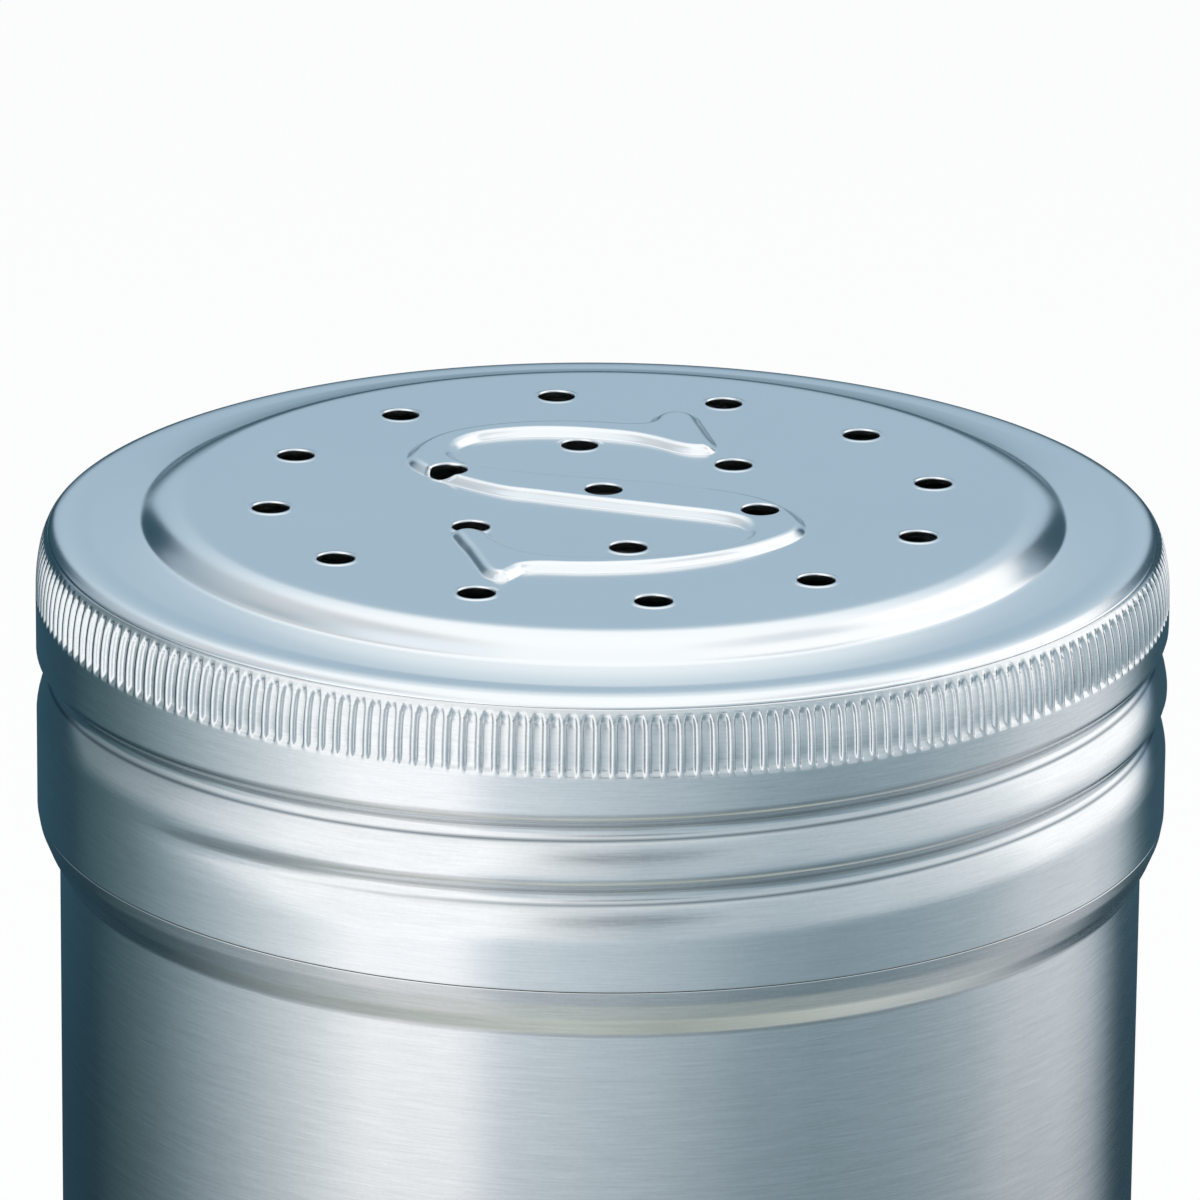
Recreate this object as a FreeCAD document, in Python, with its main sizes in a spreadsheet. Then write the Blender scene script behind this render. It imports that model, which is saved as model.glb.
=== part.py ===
import FreeCAD, Part
import math
import os

import Sketcher

from FreeCAD import Vector

# A screw-capped shaker can of thin stainless sheet. The can stands on z = 0 on the z axis.
# The front of the cap, where the raised letter is read from, faces -y.

# Driving sizes in millimetres, angles in degrees, counts as plain numbers

SIZES = {
    # the whole can
    "overall_height": 125.0,
    "sheet_thickness": 0.5,
    # the drawn can
    "body_radius": 36.5,
    "base_corner_round": 4.0,
    "base_panel_radius": 28.0,
    "base_panel_foot_radius": 30.0,
    "base_panel_rise": 1.2,
    "base_panel_round": 1.2,
    "shoulder_height": 3.6,
    "shoulder_slope_height": 1.9,
    "shoulder_round": 3.2,
    "shoulder_foot_round": 0.8,
    "shoulder_edge_round": 0.4,
    "neck_foot_round": 0.6,
    "rim_bead_round": 0.75,
    # the pressed cap
    "cap_radius": 38.0,
    "cap_depth": 21.2,
    "cap_corner_round": 1.9,
    "disc_radius": 29.6,
    "disc_foot_radius": 31.1,
    "disc_rise": 1.7,
    "disc_edge_round": 1.4,
    "disc_foot_round": 0.9,
    # the knurled band
    "knurl_drop": 2.8,
    "knurl_height": 3.9,
    "flute_depth": 0.25,
    "flute_width": 0.7,
    "flute_count": 219,
    # the shaker holes
    "hole_diameter": 2.5,
    "outer_ring_radius": 22.4,
    "inner_ring_radius": 11.2,
    "outer_hole_count": 12,
    "inner_hole_count": 6,
    "hole_turn": -8.5,
    # the raised letter
    "letter_half_width": 13.2,
    "letter_half_height": 18.0,
    "letter_rise": 0.5,
    "letter_slope_run": 0.5,
    # the rolled screw thread
    "thread_pitch": 4.4,
    "thread_low_drop": 17.1,
    "thread_turns": 1.9,
    "thread_start_turn": -125.0,
    # the sealing ring
    "ring_thickness": 0.8,
    "ring_width": 2.4,
    # running gaps
    "edge_gap": 0.3,
    "seat_gap": 0.1,
    "neck_gap": 0.25,
    "crest_gap": 0.35,
    "flank_gap": 0.2,
    # how far a cutting tool runs past the face that it opens
    "tool_overrun": 0.4,
}

# The thread's form, as shares of its pitch
THREAD_DEPTH_SHARE = 0.205
THREAD_ROUND_SHARE = 0.455

# A sharp corner of the letter moves in by no more than its inset over this share
LEAST_MITRE_SHARE = 0.5

# How far the hollow under the letter is drawn in, at its foot and at its top, as shares of the slope
HOLLOW_FOOT_SHARE = 0.8
HOLLOW_TOP_SHARE = 1.4

# Half of the letter's outline as shares of its half width and half height. The other half is the
# same outline turned half way round.
SERIF_TIP_SHARE = (0.56, 0.51)
SERIF_CORNER_SHARE = (0.49, 0.92)
SERIF_TOP_SHARE = (0.40, 1.00)
SERIF_HEEL_SHARE = (0.29, 0.96)
SERIF_ROOT_SHARE = (0.25, 0.87)
STROKE_SHARES = [
    (-0.15, 0.89),
    (-0.65, 0.79),
    (-0.94, 0.58),
    (-1.00, 0.35),
    (-0.89, 0.20),
    (-0.67, 0.06),
    (-0.36, -0.04),
    (-0.05, -0.11),
    (0.27, -0.18),
    (0.49, -0.24),
    (0.66, -0.33),
    (0.71, -0.46),
    (0.64, -0.61),
    (0.42, -0.73),
    (0.18, -0.77),
    (-0.15, -0.74),
    (-0.39, -0.67),
]


class Size:
    """A size with its value and the formula that ties it to the sheet."""

    def __init__(self, value, formula):
        self.value = value
        self.formula = formula

    def __add__(self, other):
        return Size(self.value + other.value, f"({self.formula} + {other.formula})")

    def __sub__(self, other):
        return Size(self.value - other.value, f"({self.formula} - {other.formula})")

    def __mul__(self, factor):
        return Size(self.value * factor, f"({self.formula} * {factor})")

    def __truediv__(self, other):
        return Size(self.value / other.value, f"({self.formula} / {other.formula})")


def times(first, second):
    return Size(first.value * second.value, f"({first.formula} * {second.formula})")


def hypotenuse(run, rise):
    return Size(
        math.hypot(run.value, rise.value),
        f"sqrt({run.formula} * {run.formula} + {rise.formula} * {rise.formula})",
    )


def spreadsheet(doc):
    sheet = doc.addObject("Spreadsheet::Sheet", "Sizes")
    for row, (alias, value) in enumerate(SIZES.items(), start=1):
        sheet.set(f"A{row}", alias)
        sheet.set(f"B{row}", str(value))
        sheet.setAlias(f"B{row}", alias)
    doc.recompute()
    return {alias: Size(float(value), f"Sizes.{alias}") for alias, value in SIZES.items()}


def new_body(doc, name):
    body = doc.addObject("PartDesign::Body", name)
    body.Label = name
    return body


def new_sketch(body, name, role):
    sketch = body.newObject("Sketcher::SketchObject", name)
    planes = [plane for plane in body.Origin.OriginFeatures if plane.Role == role]
    sketch.AttachmentSupport = [(planes[0], "")]
    sketch.MapMode = "FlatFace"
    return sketch


def place_point(sketch, geometry, point, position):
    """Fix one point of a sketch at its distances from the origin."""
    across, up = position
    origin, own_x_axis, own_y_axis, start = -1, -1, -2, 1
    if across is None:
        sketch.addConstraint(Sketcher.Constraint("PointOnObject", geometry, point, own_y_axis))
    else:
        rule = Sketcher.Constraint("DistanceX", origin, start, geometry, point, across.value)
        number = sketch.addConstraint(rule)
        sketch.setExpression(f"Constraints[{number}]", across.formula)
    if up is None:
        sketch.addConstraint(Sketcher.Constraint("PointOnObject", geometry, point, own_x_axis))
    else:
        rule = Sketcher.Constraint("DistanceY", origin, start, geometry, point, up.value)
        number = sketch.addConstraint(rule)
        sketch.setExpression(f"Constraints[{number}]", up.formula)


def spot(position):
    across, up = position
    return Vector(across.value if across else 0, up.value if up else 0, 0)


def rounded_outline(sketch, corners):
    """Draw a closed outline through corners, each (across, up, round), round None where sharp.

    Across or up is None where the corner lies on that axis. A round corner is an arc tangent to
    both its sides, and a construction point holds the place of the corner that it replaces.
    """
    count = len(corners)
    spots = [spot(corner[:2]) for corner in corners]
    begins, ends = [], []
    for number, (across, up, roundness) in enumerate(corners):
        here = spots[number]
        back = (spots[number - 1] - here).normalize()
        ahead = (spots[(number + 1) % count] - here).normalize()
        reach = 0.0
        if roundness:
            reach = roundness.value / math.tan(back.getAngle(ahead) / 2)
        ends.append(here + back * reach)
        begins.append(here + ahead * reach)
    lines = []
    for number in range(count):
        side = Part.LineSegment(begins[number], ends[(number + 1) % count])
        lines.append(sketch.addGeometry(side, False))
    for number, (across, up, roundness) in enumerate(corners):
        before, after = lines[number - 1], lines[number]
        if not roundness:
            sketch.addConstraint(Sketcher.Constraint("Coincident", before, 2, after, 1))
            place_point(sketch, after, 1, (across, up))
            continue
        here = spots[number]
        middle = (ends[number] + begins[number]) * 0.5
        inward = (middle - here).normalize()
        half_angle = (ends[number] - here).getAngle(begins[number] - here) / 2
        centre = here + inward * (roundness.value / math.sin(half_angle))
        crown = centre - inward * roundness.value
        arc = Part.Arc(ends[number], crown, begins[number])
        bend = sketch.addGeometry(arc, False)
        start_nearer = (sketch.getPoint(bend, 1) - ends[number]).Length
        end_nearer = (sketch.getPoint(bend, 2) - ends[number]).Length
        first, last = (1, 2) if start_nearer < end_nearer else (2, 1)
        sketch.addConstraint(Sketcher.Constraint("Tangent", before, 2, bend, first))
        sketch.addConstraint(Sketcher.Constraint("Tangent", bend, last, after, 1))
        rule = sketch.addConstraint(Sketcher.Constraint("Radius", bend, roundness.value))
        sketch.setExpression(f"Constraints[{rule}]", roundness.formula)
        corner = sketch.addGeometry(Part.Point(here), True)
        place_point(sketch, corner, 1, (across, up))
        sketch.addConstraint(Sketcher.Constraint("PointOnObject", corner, 1, before))
        sketch.addConstraint(Sketcher.Constraint("PointOnObject", corner, 1, after))


def turned_body(doc, name, corners):
    """A body turned about the z axis from its outline in the xz plane."""
    body = new_body(doc, name)
    sketch = new_sketch(body, f"{name}_outline", "XZ_Plane")
    rounded_outline(sketch, corners)
    turning = body.newObject("PartDesign::Revolution", f"{name}_turning")
    turning.Profile = sketch
    turning.ReferenceAxis = (sketch, ["V_Axis"])
    turning.Angle = 360
    sketch.Visibility = False
    return body


def shape_feature(doc, name, shape):
    feature = doc.addObject("Part::Feature", name)
    feature.Label = name
    feature.Shape = shape
    return feature


def join(doc, name, pieces):
    joined = doc.addObject("Part::MultiFuse", name)
    joined.Shapes = pieces
    joined.Label = name
    return joined


def cut(doc, name, base, tool):
    result = doc.addObject("Part::Cut", name)
    result.Base = base
    result.Tool = tool
    result.Label = name
    return result


def thread_sizes(size):
    """The thread's form and the radii that the cap and the neck share."""
    depth = size["thread_pitch"] * THREAD_DEPTH_SHARE
    groove_round = size["thread_pitch"] * THREAD_ROUND_SHARE
    inner_wall = size["cap_radius"] - size["sheet_thickness"]
    neck_radius = inner_wall - depth - size["neck_gap"]
    neck_crest = inner_wall - size["crest_gap"]
    groove_centre = size["cap_radius"] - depth + groove_round
    # The neck's ridge runs half a pitch from the cap's, clear of it by flank_gap.
    apart = groove_centre - neck_crest
    half_pitch = size["thread_pitch"] * 0.5
    reach = groove_round + size["sheet_thickness"] + size["flank_gap"]
    spare = times(apart, apart) + times(half_pitch, half_pitch) - times(reach, reach)
    ridge_round = spare / ((reach - apart) * 2)
    return {
        "depth": depth,
        "groove_round": groove_round,
        "groove_centre": groove_centre,
        "neck_radius": neck_radius,
        "neck_crest": neck_crest,
        "ridge_round": ridge_round,
        "half_pitch": half_pitch,
    }


def can_corners(size, thread):
    """The can's wall, outside from the axis to the rim, then inside back to the axis."""
    sheet = size["sheet_thickness"]
    body = size["body_radius"]
    edge = size["overall_height"] - size["cap_depth"]
    bead_top = edge - size["edge_gap"]
    foot = bead_top - size["shoulder_height"]
    bead = size["cap_radius"]
    neck = thread["neck_radius"]
    rim = rim_height(size)
    lip = size["rim_bead_round"]
    curl = lip + lip + sheet
    bend = foot + size["shoulder_slope_height"]
    slope = hypotenuse(bead - body, size["shoulder_slope_height"])
    lift = times(sheet, slope - size["shoulder_slope_height"]) / (bead - body)
    panel = size["base_panel_radius"]
    panel_foot = size["base_panel_foot_radius"]
    panel_rise = size["base_panel_rise"]
    slant = hypotenuse(panel_foot - panel, panel_rise)
    shift = times(sheet, slant - (panel_foot - panel)) / panel_rise
    soft = size["base_panel_round"]
    return [
        (None, panel_rise, None),
        (panel, panel_rise, soft),
        (panel_foot, None, soft),
        (body, None, size["base_corner_round"]),
        (body, foot, size["shoulder_foot_round"]),
        (bead, bend, size["shoulder_round"]),
        (bead, bead_top, size["shoulder_edge_round"]),
        (neck, bead_top, size["neck_foot_round"]),
        (neck, rim, lip),
        (neck - curl, rim, lip),
        (neck - curl, rim - curl, lip),
        (neck - sheet, rim - curl, None),
        (neck - sheet, bead_top - sheet, size["neck_foot_round"] + sheet),
        (bead - sheet, bead_top - sheet, None),
        (bead - sheet, bend + lift, size["shoulder_round"] - sheet),
        (body - sheet, foot + lift, size["shoulder_foot_round"] + sheet),
        (body - sheet, sheet, size["base_corner_round"] - sheet),
        (panel_foot + shift, sheet, soft),
        (panel + shift, panel_rise + sheet, soft),
        (None, panel_rise + sheet, None),
    ]


def rim_height(size):
    """The top of the can's rim, under the sealing ring and the cap's flat border."""
    border = size["overall_height"] - size["disc_rise"] - size["sheet_thickness"]
    return border - size["seat_gap"] - size["ring_thickness"] - size["seat_gap"]


def cap_corners(size):
    """The cap's wall, outside from the axis to the skirt's edge, then inside back."""
    sheet = size["sheet_thickness"]
    top = size["overall_height"]
    border = top - size["disc_rise"]
    edge = top - size["cap_depth"]
    disc = size["disc_radius"]
    foot = size["disc_foot_radius"]
    slant = hypotenuse(foot - disc, size["disc_rise"])
    shift = times(sheet, slant - (foot - disc)) / size["disc_rise"]
    return [
        (None, top, None),
        (disc, top, size["disc_edge_round"]),
        (foot, border, size["disc_foot_round"]),
        (size["cap_radius"], border, size["cap_corner_round"]),
        (size["cap_radius"], edge, None),
        (size["cap_radius"] - sheet, edge, None),
        (size["cap_radius"] - sheet, border - sheet, size["cap_corner_round"] - sheet),
        (foot - shift, border - sheet, size["disc_foot_round"] + sheet),
        (disc - shift, top - sheet, size["disc_edge_round"] - sheet),
        (None, top - sheet, None),
    ]


def ring_corners(size):
    sheet = size["sheet_thickness"]
    top = size["overall_height"] - size["disc_rise"] - sheet - size["seat_gap"]
    outer = size["cap_radius"] - size["cap_corner_round"] - size["seat_gap"]
    return [
        (outer - size["ring_width"], top, None),
        (outer, top, None),
        (outer, top - size["ring_thickness"], None),
        (outer - size["ring_width"], top - size["ring_thickness"], None),
    ]


def helical_bar(size, centre, roundness, flat, low, outward):
    """A bar swept along the thread, its section an arc closed by a chord, with ball ends.

    The arc has its centre at the radius centre and the chord lies at the radius flat. The arc
    bulges outward or towards the axis, and low is the height at which the bar starts.
    """
    origin, upright = Vector(0, 0, 0), Vector(0, 0, 1)
    pitch = size["thread_pitch"].value
    turns = size["thread_turns"].value
    rise = pitch * turns
    half_chord = math.sqrt(roundness ** 2 - (flat - centre) ** 2)
    crown = centre + roundness if outward else centre - roundness
    lower = Vector(flat, 0, -half_chord)
    upper = Vector(flat, 0, half_chord)
    arc = Part.Arc(lower, Vector(crown, 0, 0), upper).toShape()
    chord = Part.LineSegment(upper, lower).toShape()
    path = Part.Wire(Part.makeHelix(pitch, rise, centre).Edges)
    bar = path.makePipeShell([Part.Wire([arc, chord])], True, True)
    span = 2 * centre
    near_side = flat if outward else flat - span
    keep = Part.makeBox(span, span, span, Vector(near_side, -span / 2, -span / 2))
    near_end = Part.makeSphere(roundness, Vector(centre, 0, 0)).common(keep)
    far_end = near_end.copy()
    far_end.rotate(origin, upright, 360 * turns)
    far_end.translate(upright * rise)
    whole = bar.fuse([near_end, far_end])
    whole.rotate(origin, upright, size["thread_start_turn"].value)
    whole.translate(upright * low)
    return whole


def letter_wire(size, height, inset):
    """The letter's closed outline at a height, drawn in from its full size by inset."""
    wide = size["letter_half_width"].value
    tall = size["letter_half_height"].value

    def at(share, sign):
        return Vector(sign * share[0] * wide, sign * share[1] * tall, height)

    shares = [SERIF_TIP_SHARE, SERIF_CORNER_SHARE, SERIF_TOP_SHARE, SERIF_HEEL_SHARE, SERIF_ROOT_SHARE]
    shares += STROKE_SHARES
    loop = [at(share, 1) for share in shares] + [at(share, -1) for share in shares]
    count = len(loop)
    moved = []
    for number, point in enumerate(loop):
        back = (point - loop[number - 1]).normalize()
        ahead = (loop[(number + 1) % count] - point).normalize()
        left_of_back = Vector(-back.y, back.x, 0)
        left_of_ahead = Vector(-ahead.y, ahead.x, 0)
        mitre = (left_of_back + left_of_ahead).normalize()
        spread = max(mitre.dot(left_of_back), LEAST_MITRE_SHARE)
        moved.append(point + mitre * (inset / spread))
    half = count // 2
    edges = []
    for start in (0, half):
        points = [moved[(start + step) % count] for step in range(half + 1)]
        tip, corner, top, heel, root = points[:5]
        stroke = Part.BSplineCurve()
        stroke.interpolate(points[4:])
        edges.append(Part.LineSegment(tip, corner).toShape())
        edges.append(Part.Arc(corner, top, heel).toShape())
        edges.append(Part.LineSegment(heel, root).toShape())
        edges.append(stroke.toShape())
    return Part.Wire(edges)


def letter_block(size, low, high, inset_low, inset_high):
    lower = letter_wire(size, low, inset_low)
    upper = letter_wire(size, high, inset_high)
    return Part.makeLoft([lower, upper], True, True)


def flute_tools(size):
    """All the knurl's flutes, each a short round-ended bar let into the cap's side."""
    depth = size["flute_depth"].value
    width = size["flute_width"].value
    count = int(size["flute_count"].value)
    roundness = (width ** 2 / 4 + depth ** 2) / (2 * depth)
    centre = size["cap_radius"].value - depth + roundness
    top = size["overall_height"].value - size["knurl_drop"].value - roundness
    length = size["knurl_height"].value - 2 * roundness
    foot = Vector(centre, 0, top - length)
    head = Vector(centre, 0, top)
    bar = Part.makeCylinder(roundness, length, foot)
    bar = bar.fuse([Part.makeSphere(roundness, foot), Part.makeSphere(roundness, head)])
    bar = bar.removeSplitter()
    flutes = []
    for number in range(count):
        flute = bar.copy()
        flute.rotate(Vector(0, 0, 0), Vector(0, 0, 1), 360 * number / count)
        flutes.append(flute)
    return Part.makeCompound(flutes)


def pierce(doc, body, name, radius_size, size, count_size=None):
    """Cut a round hole right through the disc, and repeat it round the axis."""
    sketch = new_sketch(body, f"{name}_sketch", "XY_Plane")
    turn = math.radians(90 - size["hole_turn"].value)
    reach = radius_size.value if radius_size else 0
    centre = Vector(reach * math.cos(turn), reach * math.sin(turn), 0)
    circle = Part.Circle(centre, Vector(0, 0, 1), size["hole_diameter"].value / 2)
    ring = sketch.addGeometry(circle, False)
    rule = sketch.addConstraint(Sketcher.Constraint("Diameter", ring, size["hole_diameter"].value))
    sketch.setExpression(f"Constraints[{rule}]", size["hole_diameter"].formula)
    if radius_size:
        spoke = sketch.addGeometry(Part.LineSegment(Vector(0, 0, 0), centre), True)
        sketch.addConstraint(Sketcher.Constraint("Coincident", spoke, 1, -1, 1))
        sketch.addConstraint(Sketcher.Constraint("Coincident", spoke, 2, ring, 3))
        rule = sketch.addConstraint(Sketcher.Constraint("Distance", spoke, radius_size.value))
        sketch.setExpression(f"Constraints[{rule}]", radius_size.formula)
        rule = sketch.addConstraint(Sketcher.Constraint("Angle", -1, 1, spoke, 1, turn))
        sketch.setExpression(f"Constraints[{rule}]", f"90 - {size['hole_turn'].formula}")
    else:
        sketch.addConstraint(Sketcher.Constraint("Coincident", ring, 3, -1, 1))
    doc.recompute()
    pocket = body.newObject("PartDesign::Pocket", f"{name}_pocket")
    pocket.Profile = sketch
    pocket.Type = 1
    pocket.Midplane = True
    sketch.Visibility = False
    doc.recompute()
    if count_size:
        pattern = body.newObject("PartDesign::PolarPattern", f"{name}_pattern")
        pattern.Originals = [pocket]
        pattern.Axis = (sketch, ["N_Axis"])
        pattern.Angle = 360
        pattern.setExpression("Occurrences", count_size.formula)
        pattern.Occurrences = int(count_size.value)
        body.Tip = pattern
        doc.recompute()


def build_can(doc, size, thread):
    wall = turned_body(doc, "can_wall", can_corners(size, thread))
    low = size["overall_height"].value - size["thread_low_drop"].value + thread["half_pitch"].value
    ridge_round = thread["ridge_round"].value
    centre = thread["neck_crest"].value - ridge_round
    inside = thread["neck_radius"].value - size["sheet_thickness"].value / 2
    flat = max(inside, centre - ridge_round / 2)
    ridge = helical_bar(size, centre, ridge_round, flat, low, True)
    neck_ridge = shape_feature(doc, "neck_ridge", ridge)
    return join(doc, "can_body", [wall, neck_ridge])


def build_ring(doc, size):
    return turned_body(doc, "sealing_ring", ring_corners(size))


def build_cap(doc, size, thread):
    sheet = size["sheet_thickness"].value
    top = size["overall_height"].value
    overrun = size["tool_overrun"].value
    low = top - size["thread_low_drop"].value
    radius = size["cap_radius"].value
    centre = thread["groove_centre"].value
    groove_round = thread["groove_round"].value
    shell = turned_body(doc, "cap_shell", cap_corners(size))
    ridge = helical_bar(size, centre, groove_round + sheet, radius - sheet / 2, low, False)
    groove = helical_bar(size, centre, groove_round, radius + overrun, low, False)
    rise = size["letter_rise"].value
    run = size["letter_slope_run"].value
    letter = letter_block(size, top - sheet / 2, top + rise, 0, run)
    foot_inset = run * HOLLOW_FOOT_SHARE
    top_inset = run * HOLLOW_TOP_SHARE
    hollow = letter_block(size, top - sheet - overrun, top - sheet + rise, foot_inset, top_inset)
    inner_ridge = shape_feature(doc, "cap_inner_ridge", ridge)
    outer_groove = shape_feature(doc, "cap_outer_groove", groove)
    raised_letter = shape_feature(doc, "raised_letter", letter)
    letter_hollow = shape_feature(doc, "letter_hollow", hollow)
    flutes = shape_feature(doc, "knurl_flutes", flute_tools(size))
    lettered = join(doc, "cap_with_letter", [shell, raised_letter])
    hollowed = cut(doc, "cap_with_hollow", lettered, letter_hollow)
    doc.recompute()
    pierced = new_body(doc, "cap_pierced")
    pierced.BaseFeature = hollowed
    doc.recompute()
    pierce(doc, pierced, "outer_holes", size["outer_ring_radius"], size, size["outer_hole_count"])
    pierce(doc, pierced, "inner_holes", size["inner_ring_radius"], size, size["inner_hole_count"])
    pierce(doc, pierced, "centre_hole", None, size)
    grooved = cut(doc, "cap_grooved", pierced, outer_groove)
    rolled = cut(doc, "cap_rolled_ridge", inner_ridge, outer_groove)
    threaded = join(doc, "cap_threaded", [grooved, rolled])
    return cut(doc, "shaker_cap", threaded, flutes)


def check(doc, pieces):
    for thing in doc.Objects:
        if "Invalid" in thing.State or "Error" in thing.State:
            raise RuntimeError(f"{thing.Name} failed: {thing.State}")
    for piece in pieces:
        shape = piece.Shape
        if shape.isNull() or not shape.isValid() or len(shape.Solids) != 1:
            raise RuntimeError(f"{piece.Label} is not one valid solid")


def main():
    doc = FreeCAD.newDocument("shaker_can")
    size = spreadsheet(doc)
    thread = thread_sizes(size)
    pieces = [build_can(doc, size, thread), build_ring(doc, size), build_cap(doc, size, thread)]
    doc.recompute()
    check(doc, pieces)
    os.makedirs("parts", exist_ok=True)
    for piece in pieces:
        piece.Shape.exportStep(os.path.join("parts", f"{piece.Label}.step"))
        print(piece.Label, round(piece.Shape.Volume, 1), "mm3")


main()
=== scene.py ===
"""Looks of a screw-capped shaker can of thin stainless sheet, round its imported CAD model."""

import bmesh
import bpy
import numpy as np
from mathutils import Matrix, Vector
from mathutils.geometry import delaunay_2d_cdt


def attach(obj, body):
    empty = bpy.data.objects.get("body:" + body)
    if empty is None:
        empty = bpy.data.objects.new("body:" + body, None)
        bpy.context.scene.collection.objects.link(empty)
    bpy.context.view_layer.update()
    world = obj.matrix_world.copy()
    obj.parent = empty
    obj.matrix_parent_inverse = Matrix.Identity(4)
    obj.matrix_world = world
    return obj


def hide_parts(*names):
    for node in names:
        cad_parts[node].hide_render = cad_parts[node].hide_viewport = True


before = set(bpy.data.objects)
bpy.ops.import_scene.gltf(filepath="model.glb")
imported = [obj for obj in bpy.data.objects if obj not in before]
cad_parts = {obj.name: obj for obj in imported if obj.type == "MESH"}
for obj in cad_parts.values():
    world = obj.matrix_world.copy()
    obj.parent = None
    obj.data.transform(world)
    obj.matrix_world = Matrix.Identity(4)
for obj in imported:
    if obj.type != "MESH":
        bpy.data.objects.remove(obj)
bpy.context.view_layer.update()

# The can: one cup deep-drawn from thin stainless sheet, brushed round its wall. A bead under the
# cap's edge steps in to a neck with a rolled thread, and the neck ends in a curled rim.

MM = 0.001
SHEET = 0.5
PITCH = 4.4
THREAD_START = -125.0  # where the threads start, in degrees from +x


class Socket:
    """A value inside a material. Sums and products of sockets and numbers add Math nodes."""

    def __init__(self, tree, output):
        self.tree = tree
        self.output = output

    def math(self, operation, *others):
        node = self.tree.nodes.new("ShaderNodeMath")
        node.operation = operation
        for entry, value in zip(node.inputs, (self, *others)):
            feed(self.tree, entry, value)
        return Socket(self.tree, node.outputs[0])

    def __add__(self, other):
        return self.math("ADD", other)

    __radd__ = __add__

    def __mul__(self, other):
        return self.math("MULTIPLY", other)

    __rmul__ = __mul__

    def __sub__(self, other):
        return self.math("SUBTRACT", other)

    def __rsub__(self, other):
        return (self * -1.0) + other

    def __truediv__(self, other):
        return self.math("DIVIDE", other)


def feed(tree, entry, value):
    """Link a socket to a node's input, or write a number or a colour into it."""
    if isinstance(value, Socket):
        tree.links.new(value.output, entry)
    else:
        entry.default_value = value


def add_node(tree, kind, settings=None, inputs=None, output=0):
    """Add a node with its settings and a ramp's stops, feed its inputs and return an output."""
    node = tree.nodes.new(kind)
    for name, value in (settings or {}).items():
        if name == "stops":
            stops = node.color_ramp.elements
            stops.remove(stops[-1])
            stops[0].position = value[0][0]
            stops[0].color = (*value[0][1], 1.0)
            for place, colour in value[1:]:
                stops.new(place).color = (*colour, 1.0)
        else:
            setattr(node, name, value)
    for name, value in (inputs or {}).items():
        feed(tree, node.inputs[name], value)
    return Socket(tree, node.outputs[output]) if node.outputs else None


def blank_material(name):
    """A new material and its node tree, with no nodes in it yet."""
    material = bpy.data.materials.new(name)
    material.use_nodes = True
    material.node_tree.nodes.clear()
    return material, material.node_tree


def brushed_steel(name, streak, colour, anisotropic, roughness, paint_shade=None):
    """Stainless steel brushed round the axis.

    The streaks are noise in four directions, slow in x and y and fine in height and in radius,
    so they run round the axis on walls, slopes and flats alike. The function given last, where
    it is given, lays painted shade over the steel's colour.
    """
    material, tree = blank_material(name)
    place = add_node(tree, "ShaderNodeTexCoord", output="Object")
    parts = add_node(tree, "ShaderNodeSeparateXYZ", inputs={"Vector": place})
    x, y, z = (Socket(tree, parts.output.node.outputs[axis]) for axis in "XYZ")
    radius = (x * x + y * y).math("SQRT")

    def streaks(around, across, detail):
        spot = add_node(
            tree,
            "ShaderNodeCombineXYZ",
            inputs={"X": x * around, "Y": y * around, "Z": z * across},
        )
        return add_node(
            tree,
            "ShaderNodeTexNoise",
            {"noise_dimensions": "4D"},
            {"Vector": spot, "W": radius * across, "Scale": 1.0, "Detail": detail},
        )

    fine = streaks(420.0, 9500.0, 2.0)
    broad = streaks(170.0, 2600.0, 2.0)
    cloud = streaks(45.0, 90.0, 1.0)
    speck = add_node(
        tree, "ShaderNodeTexNoise", inputs={"Vector": place, "Scale": 3600.0, "Detail": 2.0}
    )
    grain = fine * 0.5 + broad * 0.3 + speck * 0.2
    base = add_node(
        tree,
        "ShaderNodeMix",
        {"data_type": "RGBA"},
        {
            "Factor": grain * 1.6 - 0.3,
            6: (*(tone * (1.0 - streak) for tone in colour), 1.0),
            7: (*colour, 1.0),
        },
        output=2,
    )
    if paint_shade:
        base = paint_shade(tree, base, x, y, z)
    bump = add_node(
        tree,
        "ShaderNodeBump",
        inputs={"Height": grain, "Strength": 0.14, "Distance": 0.00005},
    )
    add_node(
        tree,
        "ShaderNodeOutputMaterial",
        inputs={
            "Surface": add_node(
                tree,
                "ShaderNodeBsdfPrincipled",
                inputs={
                    "Base Color": base,
                    "Metallic": 1.0,
                    "Roughness": (grain - 0.5) * 0.14 + (cloud - 0.5) * 0.05 + roughness,
                    "Anisotropic": anisotropic,
                    "Anisotropic Rotation": 0.25,
                    "Normal": bump,
                },
            )
        },
    )
    return material


ARC_STEP = 12.0
GUARD = 0.06


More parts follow.
